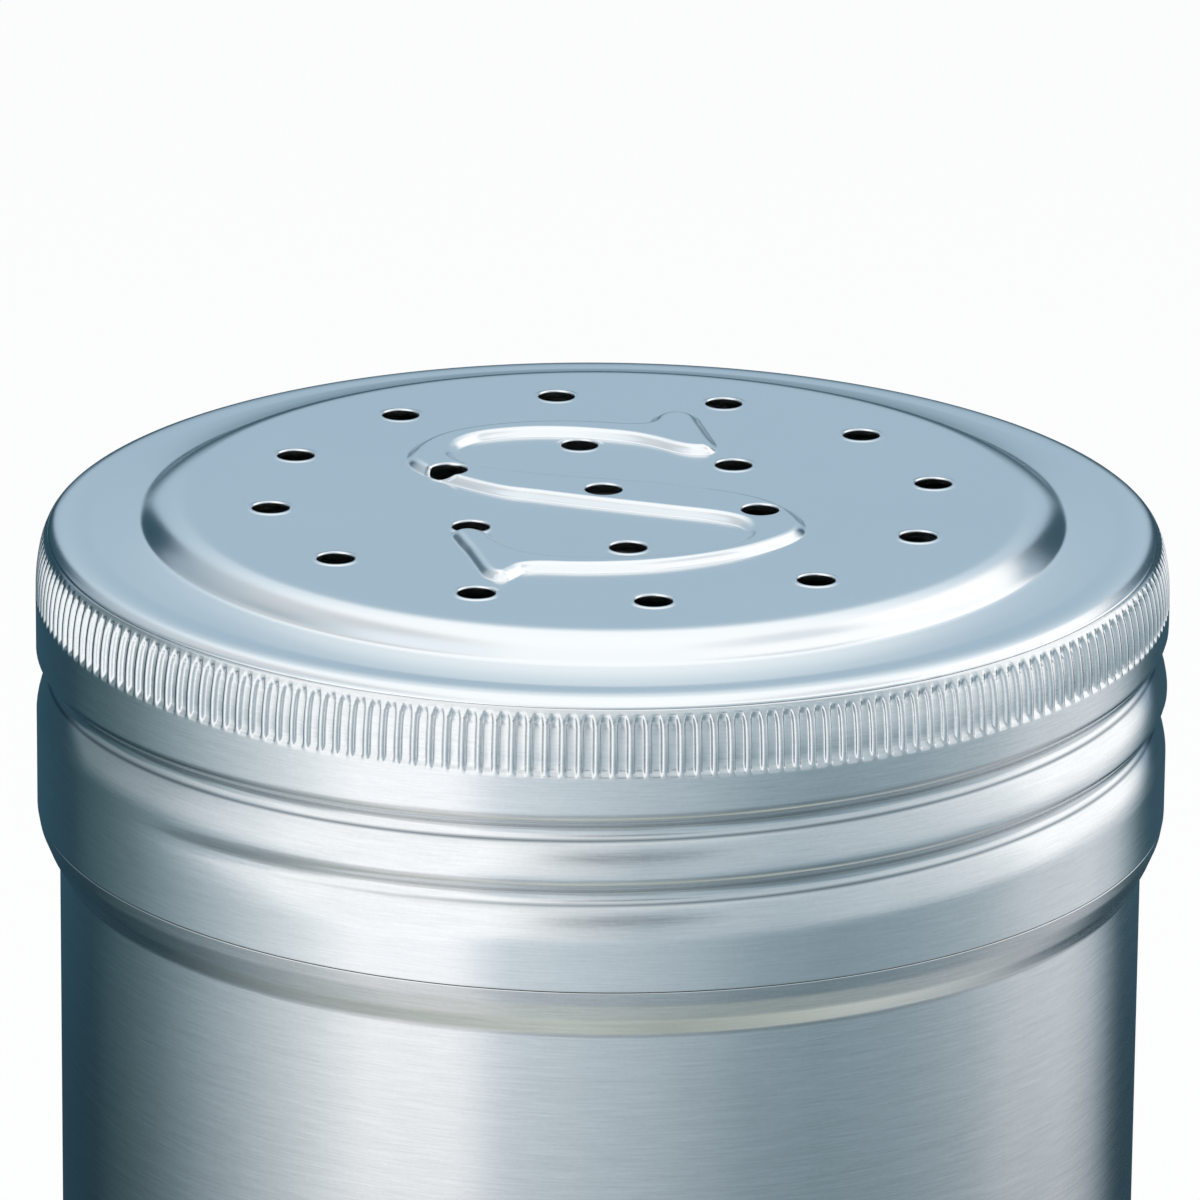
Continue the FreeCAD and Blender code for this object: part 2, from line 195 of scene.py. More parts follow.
def rounded(corners):
    """The points of a closed profile through corners (radius, height, roundness).

    A round corner is an arc tangent to both its sides, a point for each arc step in degrees,
    with a guard point just outside each end of the arc so that the flats beside it shade flat.
    """
    spots = np.array([corner[:2] for corner in corners], float)
    count = len(spots)
    points = []
    for number, (here, corner) in enumerate(zip(spots, corners)):
        roundness = corner[2]
        if not roundness:
            points.append(here[None])
            continue
        back = spots[number - 1] - here
        ahead = spots[(number + 1) % count] - here
        room = min(np.hypot(*back), np.hypot(*ahead))
        back, ahead = back / np.hypot(*back), ahead / np.hypot(*ahead)
        half = np.arccos(np.clip(back @ ahead, -1, 1)) / 2
        reach = roundness / np.tan(half)
        centre = here + (back + ahead) / np.hypot(*(back + ahead)) * roundness / np.sin(half)
        turn = np.pi - 2 * half
        shares = np.linspace(-0.5, 0.5, max(3, int(np.degrees(turn) / ARC_STEP) + 2)) * turn
        axis = (here - centre) / np.hypot(*(here - centre))
        side = (ahead - back) / np.hypot(*(ahead - back))
        arc = centre + roundness * (
            np.cos(shares)[:, None] * axis + np.sin(shares)[:, None] * side
        )
        outer = reach + min(GUARD, (room - reach) / 3)
        points += [(here + back * outer)[None], arc, (here + ahead * outer)[None]]
    line = np.concatenate(points)
    keep = np.hypot(*(line - np.roll(line, 1, 0)).T) > 1e-5
    return line[keep]


def denser(line, low, high, step):
    """Add points along a profile so that no side between two heights is longer than step."""
    following = np.roll(line, -1, 0)
    length = np.hypot(*(following - line).T)
    middle = (line[:, 1] + following[:, 1]) / 2
    parts = np.where((middle > low) & (middle < high), np.ceil(length / step), 1).astype(int)
    source = np.repeat(np.arange(len(line)), parts)
    starts = np.concatenate([[0], np.cumsum(parts)[:-1]])
    share = (np.arange(parts.sum()) - np.repeat(starts, parts)) / np.repeat(parts, parts)
    return line[source] + (following - line)[source] * share[:, None]


def smooth(value, start, end):
    """0 before start, 1 after end, and a smooth step 3t^2 - 2t^3 between them."""
    t = np.clip((value - start) / (end - start), 0, 1)
    return t * t * (3 - 2 * t)


def helix_wave(angle, height, low, turns, half_width, fade):
    """A rolled thread's form over angle (degrees from +x) and height: 0 clear of it, 1 on it.

    Across the thread it is cos^2(pi s / 2 half_width), where s is the height above the helix
    z = low + pitch * turn, and it fades in and out over fade turns at the two ends.
    """
    wave = np.zeros(np.broadcast(angle, height).shape)
    for lap in range(-1, int(turns) + 2):
        turn = ((angle - THREAD_START) % 360.0) / 360.0 + lap
        s = height - (low + PITCH * turn)
        across = np.cos(np.pi * np.clip(s / half_width, -1, 1) / 2) ** 2
        along = smooth(turn, -fade, fade) * (1 - smooth(turn, turns - fade, turns + fade))
        wave = np.maximum(wave, across * along)
    return wave


def wall_faces(rows, columns):
    """Quads of a wall of rows by columns points, closed round its columns."""
    row, column = np.meshgrid(np.arange(rows - 1), np.arange(columns), indexing="ij")
    ahead = (column + 1) % columns
    a, b = row * columns + column, row * columns + ahead
    return np.stack([a, b, b + columns, a + columns], -1).reshape(-1, 4)


def new_piece(name, points, faces, materials, slots=None):
    """A closed smooth mesh from points in mm: doubles merged, normals made to point outwards."""
    mesh = bpy.data.meshes.new(name)
    mesh.from_pydata(points * MM, [], faces)
    for material in materials:
        mesh.materials.append(material)
    if slots is not None:
        mesh.polygons.foreach_set("material_index", np.asarray(slots, np.int32))
    work = bmesh.new()
    work.from_mesh(mesh)
    bmesh.ops.remove_doubles(work, verts=work.verts, dist=0.0015 * MM)
    bmesh.ops.recalc_face_normals(work, faces=work.faces)
    work.to_mesh(mesh)
    work.free()
    mesh.polygons.foreach_set("use_smooth", np.ones(len(mesh.polygons), bool))
    piece = bpy.data.objects.new(name, mesh)
    bpy.context.scene.collection.objects.link(piece)
    return piece


CAN_COLUMNS = 288
BODY_RADIUS = 36.5
NECK_RADIUS = 36.348
RIM_TOP = 121.8
RIM_ROLL = 2.0
BEAD_TOP = 103.76
NECK_FOOT = 104.2
NECK_HEAD = 120.0
# The ridge is the thread rolled in the neck.
RIDGE_LOW = 107.5
RIDGE_TURNS = 1.9
RIDGE_HALF_WIDTH = 1.0
RIDGE_FADE = 0.03
RIDGE_RISE = 0.8

can_line = rounded(
    [
        (0.0, 1.2, None),
        (28.0, 1.2, 1.2),
        (30.0, 0.0, 1.2),
        (BODY_RADIUS, 0.0, 4.0),
        (BODY_RADIUS, 100.35, 0.7),
        (37.3, 101.55, 1.6),
        (37.84, 102.85, 1.2),
        (38.0, BEAD_TOP, 0.06),
        (NECK_RADIUS, BEAD_TOP, 0.6),
        (NECK_RADIUS, RIM_TOP, 0.75),
        (NECK_RADIUS - RIM_ROLL, RIM_TOP, 0.75),
        (NECK_RADIUS - RIM_ROLL, RIM_TOP - RIM_ROLL, 0.75),
        (NECK_RADIUS - SHEET, RIM_TOP - RIM_ROLL, 0.12),
        (NECK_RADIUS - SHEET, BEAD_TOP - SHEET, 1.1),
        (37.5, BEAD_TOP - SHEET, 0.15),
        (37.5, 102.35, 2.0),
        (BODY_RADIUS - SHEET, 100.45, 1.5),
        (BODY_RADIUS - SHEET, SHEET, 3.5),
        (30.1385, SHEET, 1.2),
        (28.1385, 1.7, 1.2),
        (0.0, 1.7, None),
    ]
)
can_line = denser(can_line, NECK_FOOT, NECK_HEAD, 0.3)
can_line = denser(can_line, 1.0, 99.0, 6.0)
around = np.arange(CAN_COLUMNS) * 360.0 / CAN_COLUMNS
line_radius, line_height = can_line[:, :1], can_line[:, 1:]
on_neck = (line_height > NECK_FOOT) & (line_height < NECK_HEAD)
on_neck &= line_radius > NECK_RADIUS - 1.0
ridge = helix_wave(around, line_height, RIDGE_LOW, RIDGE_TURNS, RIDGE_HALF_WIDTH, RIDGE_FADE)
can_radius = line_radius + RIDGE_RISE * ridge * on_neck
turn = np.radians(around)
can_points = np.stack(
    [
        can_radius * np.cos(turn),
        can_radius * np.sin(turn),
        np.broadcast_to(line_height, can_radius.shape),
    ],
    -1,
).reshape(-1, 3)
drawn_can = new_piece(
    "drawn_can",
    can_points,
    wall_faces(len(can_line), CAN_COLUMNS),
    [brushed_steel("brushed_can_steel", 0.26, (0.80, 0.82, 0.83), 0.8, 0.20)],
)
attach(drawn_can, "can")
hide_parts("can_body")

# The seal: a flat washer of translucent white silicone, pressed up under the cap's border. It
# closes on the can's curled rim when the cap is screwed down.

SEAL_OUTER = 36.0
SEAL_TOP = 122.7
SEAL_WIDTH = 2.4
SEAL_THICKNESS = 0.8
SEAL_ROUND = 0.15
seal_line = rounded(
    [
        (SEAL_OUTER - SEAL_WIDTH, SEAL_TOP, SEAL_ROUND),
        (SEAL_OUTER, SEAL_TOP, SEAL_ROUND),
        (SEAL_OUTER, SEAL_TOP - SEAL_THICKNESS, SEAL_ROUND),
        (SEAL_OUTER - SEAL_WIDTH, SEAL_TOP - SEAL_THICKNESS, SEAL_ROUND),
    ]
)
seal_line = np.concatenate([seal_line, seal_line[:1]])
seal_points = np.stack(
    [
        seal_line[:, :1] * np.cos(turn),
        seal_line[:, :1] * np.sin(turn),
        np.broadcast_to(seal_line[:, 1:], (len(seal_line), CAN_COLUMNS)),
    ],
    -1,
).reshape(-1, 3)

silicone, silicone_tree = blank_material("white_silicone")
silicone_cloud = add_node(
    silicone_tree,
    "ShaderNodeTexNoise",
    inputs={
        "Vector": add_node(silicone_tree, "ShaderNodeTexCoord", output="Object"),
        "Scale": 900.0,
        "Detail": 2.0,
    },
)
add_node(
    silicone_tree,
    "ShaderNodeOutputMaterial",
    inputs={
        "Surface": add_node(
            silicone_tree,
            "ShaderNodeBsdfPrincipled",
            inputs={
                "Base Color": add_node(
                    silicone_tree,
                    "ShaderNodeMix",
                    {"data_type": "RGBA"},
                    {
                        "Factor": silicone_cloud,
                        6: (0.70, 0.71, 0.70, 1.0),
                        7: (0.80, 0.81, 0.80, 1.0),
                    },
                    output=2,
                ),
                "Roughness": silicone_cloud * 0.2 + 0.4,
                "Normal": add_node(
                    silicone_tree,
                    "ShaderNodeBump",
                    inputs={"Height": silicone_cloud, "Strength": 0.2, "Distance": 0.00005},
                ),
            },
        )
    },
)
seal_washer = new_piece(
    "seal_washer", seal_points, wall_faces(len(seal_line), CAN_COLUMNS), [silicone]
)
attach(seal_washer, "ring")
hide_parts("sealing_ring")

# The cap: one pressing of the same sheet. Its disc is pierced by nineteen shaker holes and carries
# a raised letter, its rim is knurled by short pressed flutes, and a screw thread is rolled in its
# skirt. The top has a satin finish and the skirt is brushed round.

TOP = 125.0
CAP_EDGE = 103.8
CAP_RADIUS = 38.0
DISC_FLAT = 27.2
LETTER_RISE = 0.5
LETTER_SLOPE = 1.1
LETTER_FOOT = 0.12


def flowing(points, count):
    """A closed Catmull-Rom curve through points, count steps from each to the next."""
    t = np.linspace(0, 1, count, endpoint=False)[:, None]
    before, here, ahead, after = (np.roll(points, shift, 0)[:, None] for shift in (1, 0, -1, -2))
    return 0.5 * (
        2 * here
        + (ahead - before) * t
        + (2 * before - 5 * here + 4 * ahead - after) * t**2
        + (3 * here - before - 3 * ahead + after) * t**3
    ).reshape(-1, 2)


def signed_depth(points, loop):
    """Each point's distance inside a closed loop, less than 0 outside it, in mm."""
    start, side = loop[None], (np.roll(loop, -1, 0) - loop)[None]
    offset = points[:, None] - start
    share = np.clip((offset * side).sum(-1) / (side**2).sum(-1), 0, 1)
    distance = np.sqrt(((offset - side * share[..., None]) ** 2).sum(-1)).min(1)
    low = start[..., 1] <= points[:, None, 1]
    high = (start + side)[..., 1] <= points[:, None, 1]
    cross = side[..., 0] * offset[..., 1] - side[..., 1] * offset[..., 0]
    inside = ((low & ~high & (cross > 0)).sum(1) - (~low & high & (cross < 0)).sum(1)) != 0
    return np.where(inside, distance, -distance)


# The raised letter's outline at its foot, counter-clockwise from the tip of its upper serif.
letter = flowing(
    np.array(
        [
            (7.5, 9.8), (7.6, 11.2), (7.2, 13.3), (6.7, 15.7), (6.3, 17.4), (5.5, 18.1),
            (4.3, 18.1), (3.5, 17.3), (3.1, 16.1), (2.5, 15.5), (1.2, 15.5), (-0.7, 15.8),
            (-2.7, 15.9), (-5.1, 15.7), (-7.6, 15.0), (-9.8, 13.9), (-11.6, 12.3), (-12.8, 10.1),
            (-13.3, 7.6), (-12.9, 5.6), (-11.5, 3.5), (-9.2, 1.4), (-6.9, -0.2), (-4.7, -1.0),
            (-2.0, -2.0), (1.5, -3.2), (4.5, -4.2), (7.2, -5.1), (8.8, -6.1), (9.5, -7.5),
            (9.4, -9.0), (8.6, -10.4), (7.2, -11.6), (5.2, -12.7), (2.5, -13.5), (-0.4, -13.8),
            (-3.0, -13.6), (-4.8, -12.9), (-6.1, -11.6), (-7.0, -10.0), (-7.7, -8.6),
            (-8.9, -8.0), (-10.0, -8.6), (-9.6, -10.6), (-9.0, -12.6), (-8.4, -15.0),
            (-7.8, -17.2), (-7.1, -18.1), (-6.2, -18.1), (-5.6, -17.3), (-5.0, -16.5),
            (-3.8, -16.3), (-2.0, -16.4), (0.2, -16.3), (2.8, -15.9), (5.3, -15.1),
            (7.6, -14.0), (9.6, -12.7), (11.4, -11.0), (12.7, -9.3), (13.4, -7.4), (13.2, -5.2),
            (12.3, -2.9), (10.9, -1.1), (8.9, 0.3), (6.0, 1.5), (3.6, 2.3), (0.6, 3.0),
            (-2.5, 3.6), (-5.3, 4.4), (-7.6, 5.3), (-9.3, 6.5), (-10.1, 8.1), (-9.8, 10.0),
            (-8.6, 11.6), (-6.9, 12.5), (-4.8, 13.0), (-2.4, 13.0), (-0.2, 12.6), (1.8, 12.0),
            (3.4, 11.0), (4.6, 10.0), (5.7, 9.4), (6.8, 9.3),
        ]
    ),
    6,
)


def letter_height(points):
    """The letter's rise over the disc: 1 - (1 - t)^2.2 across its sloping edge.

    The foot is rounded, t being a share of the way in raised to the power 1.3.
    """
    share = np.clip((signed_depth(points, letter) + LETTER_FOOT) / LETTER_SLOPE, 0, 1)
    return LETTER_RISE * (1 - (1 - share**1.3) ** 2.2)


FIRST_HOLE = np.radians(90 + 8.5)
INNER_RING = 11.2
OUTER_RING = 22.4


def hole_ring(radius, count):
    """The centres of count holes spread evenly round a circle."""
    angles = FIRST_HOLE + np.arange(count) * np.pi / (count / 2)
    return radius * np.stack([np.cos(angles), np.sin(angles)], -1)


hole_centres = np.concatenate([[(0.0, 0.0)], hole_ring(INNER_RING, 6), hole_ring(OUTER_RING, 12)])
HOLE_RADIUS = 1.25
HOLE_LIP = 0.12
BURR_WIDTH = 0.3
BURR_RISE = 0.07

# The disc's flat, letter and holes lie over one plan, so the plan is divided into triangles along
# the letter's contours and the holes' edges, and then raised to the letter's height.
outward = np.roll(letter, -1, 0) - np.roll(letter, 1, 0)
outward = np.stack([outward[:, 1], -outward[:, 0]], -1) / np.hypot(*outward.T)[:, None]
plan_points, plan_edges = [], []


def add_loop(loop, keep=None):
    """Add a closed loop to the plan, without the sides that end at a point not kept."""
    first = sum(map(len, plan_points))
    number = np.arange(len(loop))
    sides = np.stack([number, np.roll(number, -1)], -1)
    if keep is not None:
        new = np.cumsum(keep) - 1
        sides = new[sides[keep[sides].all(1)]]
        loop = loop[keep]
    plan_points.append(loop)
    plan_edges.append(sides + first)


FLUTES = 219
flute_turn = np.arange(FLUTES) * 2 * np.pi / FLUTES
circle = np.stack([np.cos(flute_turn), np.sin(flute_turn)], -1)
add_loop(circle * DISC_FLAT)
add_loop(circle * (DISC_FLAT - GUARD))
for inset in (-0.2, -0.12, -0.03, 0.07, 0.17, 0.28, 0.4, 0.54, 0.7, 0.86, 0.98, 1.1):
    contour = letter - outward * inset
    gap = np.abs(signed_depth(contour, letter) - inset)
    add_loop(contour, gap < 0.03)
HOLE_COLUMNS = 40
ring_turn = np.arange(HOLE_COLUMNS) * 2 * np.pi / HOLE_COLUMNS
ring = np.stack([np.cos(ring_turn), np.sin(ring_turn)], -1)
for centre in hole_centres:
    for width in (0.0, BURR_WIDTH / 2, BURR_WIDTH, BURR_WIDTH + 0.05):
        add_loop(centre + ring * (HOLE_RADIUS + HOLE_LIP + width))
plan = delaunay_2d_cdt(
    [Vector(spot) for spot in np.concatenate(plan_points)],
    np.concatenate(plan_edges).tolist(),
    [],
    0,
    1e-5,
)
flat_spots = np.array([tuple(spot) for spot in plan[0]])
flat_faces = np.array(plan[2])
middles = flat_spots[flat_faces].mean(1)
away = np.hypot(*(middles[:, None] - hole_centres[None]).transpose(2, 0, 1))
flat_faces = flat_faces[(away > (HOLE_RADIUS + HOLE_LIP) * 0.998).all(1)]
reach = np.hypot(*(flat_spots[:, None] - hole_centres[None]).transpose(2, 0, 1)).min(1)
burr = BURR_RISE * np.clip(1 - (reach - HOLE_RADIUS - HOLE_LIP) / BURR_WIDTH, 0, 1)
flat_rise = np.minimum(letter_height(flat_spots) + burr, LETTER_RISE)
top_points = np.column_stack([flat_spots, TOP + flat_rise])
under_points = np.column_stack([flat_spots, TOP - SHEET + flat_rise])

points, faces, slots = [], [], []


def add_part(new_points, new_faces, slot):
    """Add a part of the cap: its points, its faces numbered from 0, and their material."""
    first = sum(map(len, points))
    points.append(new_points)
    faces.extend((np.asarray(new_faces) + first).tolist())
    slots.extend([slot] * len(new_faces))


add_part(top_points, flat_faces, 0)
add_part(under_points, flat_faces[:, ::-1], 0)

# Each hole's wall: the edge left in the plan, carried down over a small round lip.
lip = np.radians(np.linspace(0, 90, 5))
wall_inset = np.concatenate([np.sin(lip), np.sin(lip)[::-1]]) * HOLE_LIP
lip_drop = (1 - np.cos(lip)) * HOLE_LIP
wall_drop = np.concatenate([lip_drop, SHEET - lip_drop[::-1]])
used = np.zeros(len(flat_spots), bool)
used[flat_faces] = True
for centre in hole_centres:
    spoke = flat_spots - centre
    reach = np.hypot(*spoke.T)
    edge = np.flatnonzero(used & (np.abs(reach - HOLE_RADIUS - HOLE_LIP) < 0.012))
    edge = edge[np.argsort(np.arctan2(*spoke[edge].T[::-1]))]
    direction = spoke[edge] / reach[edge, None]
    across = reach[edge][None, :, None] - wall_inset[:, None, None]
    wall = np.concatenate(
        [
            centre + direction[None] * across,
            (TOP + flat_rise[edge][None] - wall_drop[:, None])[..., None],
        ],
        -1,
    )
    add_part(wall.reshape(-1, 3), wall_faces(len(wall_drop), len(edge)), 0)


def turned(radius, height, angles):
    """Points of a surface turned round the z axis: radius over height for each angle."""
    radius, height, angles = np.broadcast_arrays(radius, height, angles)
    return np.stack([radius * np.cos(angles), radius * np.sin(angles), height], -1).reshape(-1, 3)


TROUGH_LOW = 109.57
TROUGH_HALF = 0.3


def thread_in(angles, height):
    """How deep the rolled thread lies in the skirt, in mm.

    Its trough follows the helix z = low + pitch * turn and is 0.6 mm high. At s mm over the
    trough the depth is (1 - s / 1.1)^1.6, and at s mm under it
    0.85 (1 - s / 2.8)^1.8 + 0.15 exp(-s / 0.3).
    """
    depth = np.zeros(np.broadcast(angles, height).shape)
    for lap in range(-1, 3):
        turn = ((np.degrees(angles) - THREAD_START) % 360.0) / 360.0 + lap
        s = height - (TROUGH_LOW + PITCH * turn)
        over = np.clip(1 - np.clip(s - TROUGH_HALF, 0, 2) / 1.1, 0, 1) ** 1.6
        fall = np.minimum(s + TROUGH_HALF, 0)
        under = 0.85 * np.clip(1 + fall / 2.8, 0, 1) ** 1.8 + 0.15 * np.exp(fall / 0.3)
        under *= smooth(s, -3.3, -2.5)
        along = smooth(turn, -0.06, 0.06) * (1 - smooth(turn, 1.5, 1.62))
        depth = np.maximum(depth, np.where(s > 0, over, under) * along)
    return depth


# The skirt's raw edge and the cap's inside, up to the disc's edge.
cap_line = rounded(
    [
        (0.0, TOP, None),
        (CAP_RADIUS, TOP, None),
        (CAP_RADIUS, CAP_EDGE, 0.06),
        (CAP_RADIUS - SHEET, CAP_EDGE, 0.06),
        (CAP_RADIUS - SHEET, 118.6, 0.3),
        (CAP_RADIUS - 1.0, 119.0, 0.3),
        (CAP_RADIUS - 1.0, 122.75, 1.0),
        (31.1, 123.05, 1.0),
        (28.3, TOP - SHEET, 1.2),
        (0.0, TOP - SHEET, None),
    ]
)


def bent_line(knots, count):
    """A line through knots (radius, height, slope in degrees), cubic Hermite between them."""
    radius, height, slope = np.array(knots).T[:, :, None]
    run = np.diff(radius, axis=0)
    rise = -np.tan(np.radians(slope))
    t = np.arange(count) / count
    here, ahead = height[:-1], height[1:]
    line = (
        here * (2 * t**3 - 3 * t**2 + 1)
        + ahead * (3 * t**2 - 2 * t**3)
        + rise[:-1] * run * (t**3 - 2 * t**2 + t)
        + rise[1:] * run * (t**3 - t**2)
    )
    return np.stack([radius[:-1] + run * t, line], -1).reshape(-1, 2)


# Outside, from the disc's edge over its step and the border to the knurl's upper end.
crown = bent_line(
    [
        (DISC_FLAT, TOP, 0.0),
        (27.9, TOP - 0.03, 5.0),
        (28.3, TOP - 0.08, 10.0),
        (28.7, TOP - 0.17, 14.0),
        (29.2, TOP - 0.32, 19.0),
        (29.8, TOP - 0.57, 26.0),
        (30.3, TOP - 0.84, 31.0),
        (30.7, TOP - 1.09, 33.0),
        (31.0, TOP - 1.26, 26.0),
        (31.3, TOP - 1.35, 12.0),
        (31.6, TOP - 1.40, 9.0),
        (33.0, TOP - 1.59, 6.5),
        (34.2, TOP - 1.71, 5.4),
        (34.6, TOP - 1.73, 1.2),
        (35.2, TOP - 1.75, 2.5),
        (35.9, TOP - 1.81, 7.5),
        (36.3, TOP - 1.88, 15.0),
        (36.7, TOP - 2.02, 23.0),
        (37.15, TOP - 2.29, 44.0),
        (37.45, TOP - 2.74, 68.0),
        (37.75, TOP - 3.62, 78.0),
    ],
    3,
)
split = int(np.argmax(crown[:, 1] < TOP - 2.25))
crown_line, knurl_head = crown[: split + 1], crown[split:]
add_part(
    turned(crown_line[:, :1], crown_line[:, 1:], flute_turn),
    wall_faces(len(crown_line), FLUTES),
    0,
)

# The knurl: each flute is a groove with a flat floor and steep walls, pointed at its upper end.
FLUTE_PITCH = 1.09
FLUTE_DEPTH = 0.30
SKIRT_TOP = 117.8
flute_steps = np.array([0.125, 0.2, 0.275, 0.33, 0.76, 0.815, 0.89, 0.965]) / FLUTE_PITCH
fine_turn = ((np.arange(FLUTES)[:, None] + flute_steps[None]) / FLUTES * 2 * np.pi).ravel()
knurl_foot = np.array(
    [
        (37.75, -3.62), (37.86, -4.2), (37.95, -4.9), (37.99, -5.6), (38.0, -6.1), (38.0, -6.27),
        (38.0, -6.42), (38.0, -6.57), (38.0, -6.73), (38.0, -6.9),
    ]
) + (0.0, TOP)
knurl_line = np.concatenate([knurl_head, knurl_foot])
offset = np.abs((fine_turn * FLUTES / (2 * np.pi)) % 1.0 - 0.5)[None] * FLUTE_PITCH
down = TOP - knurl_line[:, 1:]
width = 0.25 + 0.75 * smooth(down, 2.3, 3.3)
floor_dip = 0.05 * np.clip(1 - offset / 0.3, 0, 1)
flute_across = 1 - smooth(offset / width, 0.25, 0.44) + floor_dip
flute_along = smooth(down, 2.28, 3.0) * (1 - smooth(down, 6.15, 6.65))
flute_depth = FLUTE_DEPTH * flute_along * flute_across
add_part(
    turned(knurl_line[:, :1] - flute_depth, knurl_line[:, 1:], fine_turn),
    wall_faces(len(knurl_line), len(fine_turn)),
    1,
)


def step_up(coarse, fine, ratio):
    """Triangles that join a row of coarse points to a row with ratio times as many."""
    count = len(coarse)
    number = np.arange(count)
    ahead = (number + 1) % count
    half = ratio // 2
    inner = np.arange(ratio)
    first = (number[:, None] * ratio + inner) % (count * ratio)
    second = (first + 1) % (count * ratio)
    apex = np.where(inner < half, number[:, None], ahead[:, None])
    fans = np.stack([apex, count + first, count + second], -1).reshape(-1, 3)
    gussets = np.stack([number, count + number * ratio + half, ahead], -1)
    return np.concatenate([coarse, fine]), np.concatenate([fans, gussets])


# Both joints between the plain rows and the knurl's rows are a fan of triangles.
skirt_row = turned(CAP_RADIUS, SKIRT_TOP, flute_turn)
knurl_row = turned(*knurl_line[-1], fine_turn)
add_part(*step_up(skirt_row, knurl_row, len(flute_steps)), 1)
crown_row = turned(*crown_line[-1], flute_turn)
head_row = turned(*knurl_line[0], fine_turn)
add_part(*step_up(crown_row, head_row, len(flute_steps)), 1)

EDGE_TOP = CAP_EDGE + 0.16
skirt_heights = np.concatenate([np.arange(SKIRT_TOP, 104.1, -0.2), [104.0, EDGE_TOP]])[:, None]
skirt_radius = CAP_RADIUS - thread_in(flute_turn, skirt_heights)
add_part(
    turned(skirt_radius, skirt_heights, flute_turn),
    wall_faces(len(skirt_heights), FLUTES),
    1,
)
edge_line = cap_line[cap_line[:, 1] < 104.2]
edge_line[0] = (CAP_RADIUS, EDGE_TOP)
edge_line[-1] = (CAP_RADIUS - SHEET, EDGE_TOP)
add_part(
    turned(edge_line[:, :1], edge_line[:, 1:], flute_turn),
    wall_faces(len(edge_line), FLUTES),
    1,
)
LINING_TOP = 118.3
lining_heights = np.concatenate([[EDGE_TOP, 104.2], np.arange(104.5, 118.1, 0.6), [LINING_TOP]])
lining_heights = lining_heights[:, None]
lining_radius = CAP_RADIUS - SHEET - 0.9 * thread_in(flute_turn, lining_heights)
add_part(
    turned(lining_radius, lining_heights, flute_turn),
    wall_faces(len(lining_heights), FLUTES),
    1,
)
lining = cap_line[np.argmin(cap_line[:, 1]) :]
lining = lining[(lining[:, 1] > 119.0) & (lining[:, 0] > DISC_FLAT - 0.001)]
lining = np.concatenate(
    [[(CAP_RADIUS - SHEET, LINING_TOP)], lining, [(DISC_FLAT, TOP - SHEET)]]
)
add_part(turned(lining[:, :1], lining[:, 1:], flute_turn), wall_faces(len(lining), FLUTES), 0)


def satin_steel(name, colour, roughness):
    """Stainless steel with an even, very fine satin grain."""
    material, tree = blank_material(name)
    place = add_node(tree, "ShaderNodeTexCoord", output="Object")
    grain = add_node(
        tree,
        "ShaderNodeTexNoise",
        inputs={"Vector": place, "Scale": 9000.0, "Detail": 2.0, "Roughness": 0.6},
    )
    cloud = add_node(
        tree,
        "ShaderNodeTexNoise",
        inputs={"Vector": place, "Scale": 60.0, "Detail": 2.0, "Roughness": 0.5},
    )
    base = add_node(
        tree,
        "ShaderNodeMix",
        {"data_type": "RGBA"},
        {
            "Factor": grain * 0.6 + cloud * 0.4,
            6: (*(tone * 0.93 for tone in colour), 1.0),
            7: (*colour, 1.0),
        },
        output=2,
    )
    bump = add_node(
        tree,
        "ShaderNodeBump",
        inputs={"Height": grain, "Strength": 0.05, "Distance": 0.00005},
    )
    add_node(
        tree,
        "ShaderNodeOutputMaterial",
        inputs={
            "Surface": add_node(
                tree,
                "ShaderNodeBsdfPrincipled",
                inputs={
                    "Base Color": base,
                    "Metallic": 1.0,
                    "Roughness": (grain - 0.5) * 0.1 + (cloud - 0.5) * 0.06 + roughness,
                    "Normal": bump,
                },
            )
        },
    )
    return material


# The painted shade line: how far under the trough it lies, its half width and its turns.
SHADE_LINE_DROP = 0.55
SHADE_LINE_HALF_WIDTH = 0.16
SHADE_LINE_TURNS = 1.5


def groove_shade(tree, base, x, y, z):
    """The steel's colour with painted shade, a thin dark line along the helix in the thread's
    groove.

    It lies a little under the trough, at z = low - drop + pitch * turn, and fades at its ends.
    """
    turns_up = (z * (1 / MM) - (TROUGH_LOW - SHADE_LINE_DROP)) / PITCH
    turn_here = y.math("ARCTAN2", x) / (2 * np.pi) - THREAD_START / 360.0
    beside = ((turns_up - turn_here + 0.5).math("FRACT") - 0.5).math("ABSOLUTE") * PITCH
    line = (1.0 - beside / SHADE_LINE_HALF_WIDTH).math("MAXIMUM", 0.0)
    line = line * (turns_up * 8.0).math("MAXIMUM", 0.0).math("MINIMUM", 1.0)
    line = line * ((SHADE_LINE_TURNS - turns_up) * 8.0).math("MAXIMUM", 0.0).math("MINIMUM", 1.0)
    # Painted shade: the dark colour is mixed over the steel along this line.
    return add_node(
        tree,
        "ShaderNodeMix",
        {"data_type": "RGBA"},
        {"Factor": line * 0.85, 6: base, 7: (0.10, 0.14, 0.17, 1.0)},
        output=2,
    )


pierced_cap = new_piece(
    "pierced_cap",
    np.concatenate(points),
    faces,
    [
        satin_steel("satin_cap_steel", (0.82, 0.84, 0.85), 0.165),
        # The skirt's steel, with a line of painted shade along the thread's groove.
        brushed_steel(
            "brushed_cap_steel", 0.24, (0.81, 0.83, 0.84), 0.75, 0.17, paint_shade=groove_shade
        ),
    ],
    slots,
)
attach(pierced_cap, "cap")
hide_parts("shaker_cap")

# The studio: a wide pale table, round the can a screen that only reflections see, one soft lamp
# overhead, a plain pale world, and the camera that looks down on the cap's front.

